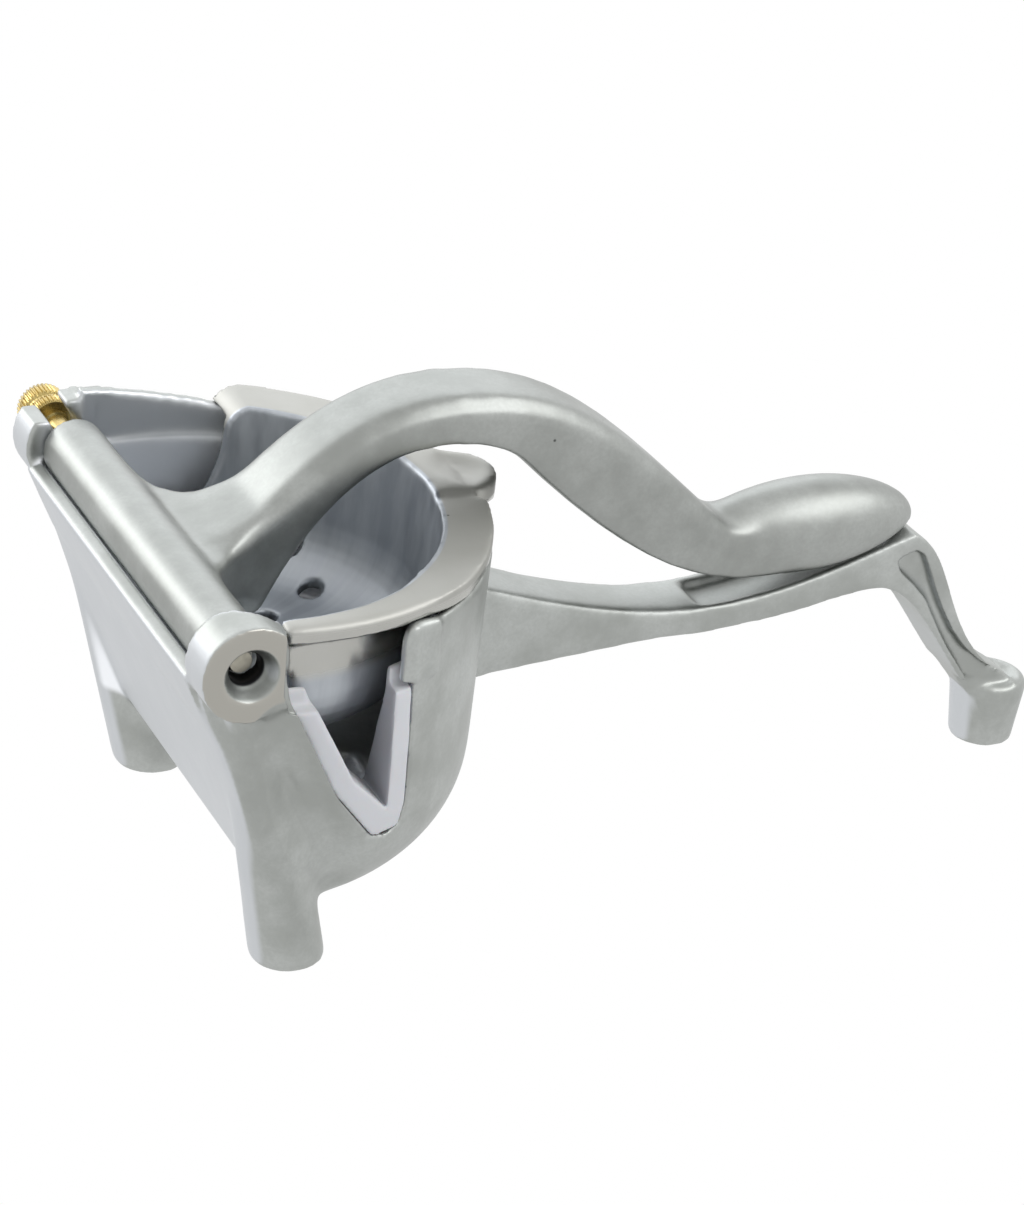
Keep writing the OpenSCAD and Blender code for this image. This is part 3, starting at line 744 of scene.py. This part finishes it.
lever = copy_of("press_lever", "lever_arm")
bpy.ops.object.select_all(action="DESELECT")
bpy.ops.mesh.primitive_plane_add(
    size=0.001,
    location=frame_point(WEB[0][0], 0.0, WEB_LOW + 0.5),
    rotation=(0.0, math.radians(90.0), 0.0),
)
web = bpy.context.object
bpy.ops.object.transform_apply(location=True, rotation=True, scale=True)
bpy.ops.object.mode_set(mode="EDIT")
bpy.ops.mesh.select_all(action="SELECT")
bpy.ops.transform.resize(
    value=(1.0, 2.0 * WEB[0][1], WEB[0][2] - WEB_LOW),
    center_override=frame_point(WEB[0][0], 0.0, WEB_LOW),
)
for before, after in zip(WEB, WEB[1:]):
    bpy.ops.mesh.extrude_region_move(
        TRANSFORM_OT_translate={"value": ((after[0] - before[0]) / 1000.0, 0.0, 0.0)}
    )
    bpy.ops.transform.resize(
        value=(1.0, after[1] / before[1], (after[2] - WEB_LOW) / (before[2] - WEB_LOW)),
        center_override=frame_point(after[0], 0.0, WEB_LOW),
    )
bpy.ops.mesh.select_all(action="SELECT")
bpy.ops.mesh.normals_make_consistent(inside=False)
bpy.ops.object.mode_set(mode="OBJECT")
join_to(lever, web)
skin_over(lever, LEVER_VOXEL)
for swell in (STEP_FILL, -STEP_FILL):
    weigh(lever, "arm", lambda p: ramp(p.x, HINGE.x + 0.0045, HINGE.x + 0.009))
    apply(lever, "DISPLACE", "close_step", strength=swell, mid_level=0.0, vertex_group="arm")
    skin_over(lever, LEVER_VOXEL)
smooth(lever, "round_arm", 50, lambda p: ramp(p.x, HINGE.x + 0.002, HINGE.x + 0.0085))
smooth(lever, "soften", 4)
thin_out(lever, LEVER_TRIANGLES)
give(lever, material_lever)
stands_for(lever, "press_lever", "lever")

# Spout trim

TRIM_VOXEL = 0.0003
TRIM_TRIANGLES = 90000

trim = copy_of("spout_trim", "trim_strip")
skin_over(trim, TRIM_VOXEL)
smooth(trim, "round_ends", 60, lambda p: 0.25 + 0.75 * ramp(p.z, 0.05, 0.056))
thin_out(trim, TRIM_TRIANGLES)
give(trim, material_trim)
stands_for(trim, "spout_trim", "base")

# Lock nut: a smooth neck and two knurled bands, turned about the hinge axis. Each row gives the
# radius, the place along the axis and whether the ring is knurled.

TEETH = 36
TOOTH_DEPTH = 0.925
NUT_PROFILE = (
    (2.5, 45.2, False),
    (2.5, 55.3, False),
    (3.0, 55.5, False),
    (3.0, 56.9, False),
    (4.6, 57.0, False),
    (5.1, 57.4, True),
    (5.18, 57.7, True),
    (5.18, 59.6, True),
    (5.1, 59.9, True),
    (4.6, 60.2, False),
    (4.5, 60.5, False),
    (4.5, 61.2, False),
    (4.6, 61.5, False),
    (5.1, 61.8, True),
    (5.18, 62.1, True),
    (5.18, 65.2, True),
    (5.0, 65.7, True),
    (4.3, 66.4, False),
    (3.4, 66.8, False),
    (2.0, 66.95, False),
)

bpy.ops.object.select_all(action="DESELECT")
bpy.ops.mesh.primitive_circle_add(
    vertices=TEETH * 4,
    radius=NUT_PROFILE[0][0] / 1000.0,
    fill_type="NGON",
    location=frame_point(0.0, NUT_PROFILE[0][1], HINGE_H),
    rotation=(math.radians(90.0), 0.0, 0.0),
)
nut = bpy.context.object
nut.name = "knurled_nut"
nut.data.name = "knurled_nut"
bpy.ops.object.transform_apply(location=True, rotation=True, scale=True)
bpy.ops.object.mode_set(mode="EDIT")
bpy.ops.mesh.select_all(action="SELECT")
for before, after in zip(NUT_PROFILE, NUT_PROFILE[1:]):
    bpy.ops.mesh.extrude_region_move(
        TRANSFORM_OT_translate={"value": (0.0, (after[1] - before[1]) / 1000.0, 0.0)}
    )
    grow = after[0] / before[0]
    bpy.ops.transform.resize(
        value=(grow, 1.0, grow), center_override=frame_point(0.0, after[1], HINGE_H)
    )
bpy.ops.mesh.select_all(action="DESELECT")
bpy.ops.object.mode_set(mode="OBJECT")
knurled = [y for _, y, cut in NUT_PROFILE if cut]
for v in nut.data.vertices:
    x, y, z = design(v.co)
    turn = math.atan2(z - HINGE_H, x) / (2.0 * math.pi) * TEETH * 4.0
    groove = round(turn) % 4 in (1, 2)
    v.select = groove and any(abs(y - ring) < 0.02 for ring in knurled)
bpy.ops.object.mode_set(mode="EDIT")
bpy.ops.mesh.select_mode(type="VERT")
bpy.ops.transform.resize(
    value=(TOOTH_DEPTH, 1.0, TOOTH_DEPTH), center_override=frame_point(0.0, 60.0, HINGE_H)
)
bpy.ops.mesh.select_all(action="SELECT")
bpy.ops.mesh.normals_make_consistent(inside=False)
bpy.ops.object.mode_set(mode="OBJECT")
only(nut)
bpy.ops.object.shade_smooth_by_angle(angle=math.radians(32.0))
give(nut, material_brass)
stands_for(nut, "lock_nut", "nut")

# Shaft keeps its CAD shape

give(frame["nodes"]["pivot_shaft"], material_steel)


# Stage: a pale floor and a world that camera and metal see as white, and soft lamps


def sees_backdrop(tree):
    """One for the rays of the camera and of what mirrors or passes them on."""
    rays = node(tree, "ShaderNodeLightPath").outputs
    either = math_node(tree, "MAXIMUM", rays["Is Camera Ray"], rays["Is Glossy Ray"])
    return math_node(tree, "MAXIMUM", either, rays["Is Transmission Ray"])


material_floor, tree, shader, place = new_material("pale_floor")
speckle = node(tree, "ShaderNodeTexNoise", {"Vector": place, "Scale": 40.0}).outputs["Fac"]
colour = mix_colour(tree, speckle, (0.78, 0.78, 0.78, 1.0), (0.82, 0.82, 0.82, 1.0))
tree.links.new(colour, shader.inputs["Base Color"])
shader.inputs["Roughness"].default_value = 0.9
white = node(tree, "ShaderNodeEmission", {"Color": (1.0, 1.0, 1.0, 1.0), "Strength": 1.0})
both = node(tree, "ShaderNodeMixShader", {0: sees_backdrop(tree)})
tree.links.new(shader.outputs[0], both.inputs[1])
tree.links.new(white.outputs[0], both.inputs[2])
end = next(n for n in tree.nodes if n.type == "OUTPUT_MATERIAL")
tree.links.new(both.outputs[0], end.inputs["Surface"])

bpy.ops.object.select_all(action="DESELECT")
bpy.ops.mesh.primitive_plane_add(size=4.0, location=(0.0, 0.0, -0.0001))
floor = bpy.context.object
floor.name = "floor"
give(floor, material_floor)

world = bpy.data.worlds.new("studio")
world.use_nodes = True
bpy.context.scene.world = world
tree = world.node_tree
tree.nodes.clear()
room = node(tree, "ShaderNodeBackground", {"Color": (0.92, 0.95, 1.0, 1.0), "Strength": 0.6})
sheet = node(tree, "ShaderNodeBackground", {"Color": (1.0, 1.0, 1.0, 1.0), "Strength": 1.0})
both = node(tree, "ShaderNodeMixShader", {0: sees_backdrop(tree)})
tree.links.new(room.outputs[0], both.inputs[1])
tree.links.new(sheet.outputs[0], both.inputs[2])
end = node(tree, "ShaderNodeOutputWorld")
tree.links.new(both.outputs[0], end.inputs["Surface"])


def lamp(name, at, aim, size, watts, tint=(1.0, 1.0, 1.0)):
    bpy.ops.object.light_add(type="AREA", location=at)
    made = bpy.context.object
    made.name = name
    made.rotation_euler = (Vector(aim) - Vector(at)).to_track_quat("-Z", "Y").to_euler()
    made.data.shape = "RECTANGLE"
    made.data.size, made.data.size_y = size
    made.data.energy = watts
    made.data.color = tint
    made.visible_camera = False


lamp("back_sheet", (0.1, 1.5, 0.85), (0.0, 0.0, 0.08), (2.2, 1.0), 7.5, (0.93, 0.96, 1.0))
lamp("back_left", (-0.75, 1.0, 0.45), (-0.1, 0.0, 0.07), (0.5, 0.5), 3.2)
lamp("top_front", (0.58, -0.45, 0.95), (0.0, 0.0, 0.06), (1.1, 0.6), 5.0)

# Camera at the photograph's angle

CAMERA_AT = (-0.30675, -0.56067, 0.36282)
CAMERA_AZIMUTH = -27.32
CAMERA_DOWN = 26.72
CAMERA_ROLL = 5.56
CAMERA_LENS = 103.98

bpy.ops.object.camera_add(location=CAMERA_AT)
camera = bpy.context.object
turn = math.radians(-CAMERA_AZIMUTH)
drop = math.radians(CAMERA_DOWN)
level = math.cos(drop)
ahead = Vector((math.sin(turn) * level, math.cos(turn) * level, -math.sin(drop)))
aimed = ahead.to_track_quat("-Z", "Y").to_matrix()
rolled = aimed @ Matrix.Rotation(math.radians(CAMERA_ROLL), 3, "Z")
camera.rotation_euler = rolled.to_euler()
camera.data.sensor_width = 36.0
camera.data.lens = CAMERA_LENS
camera.data.clip_start = 0.01
camera.data.clip_end = 20.0
bpy.context.scene.camera = camera
bpy.context.scene.view_settings.view_transform = "Standard"
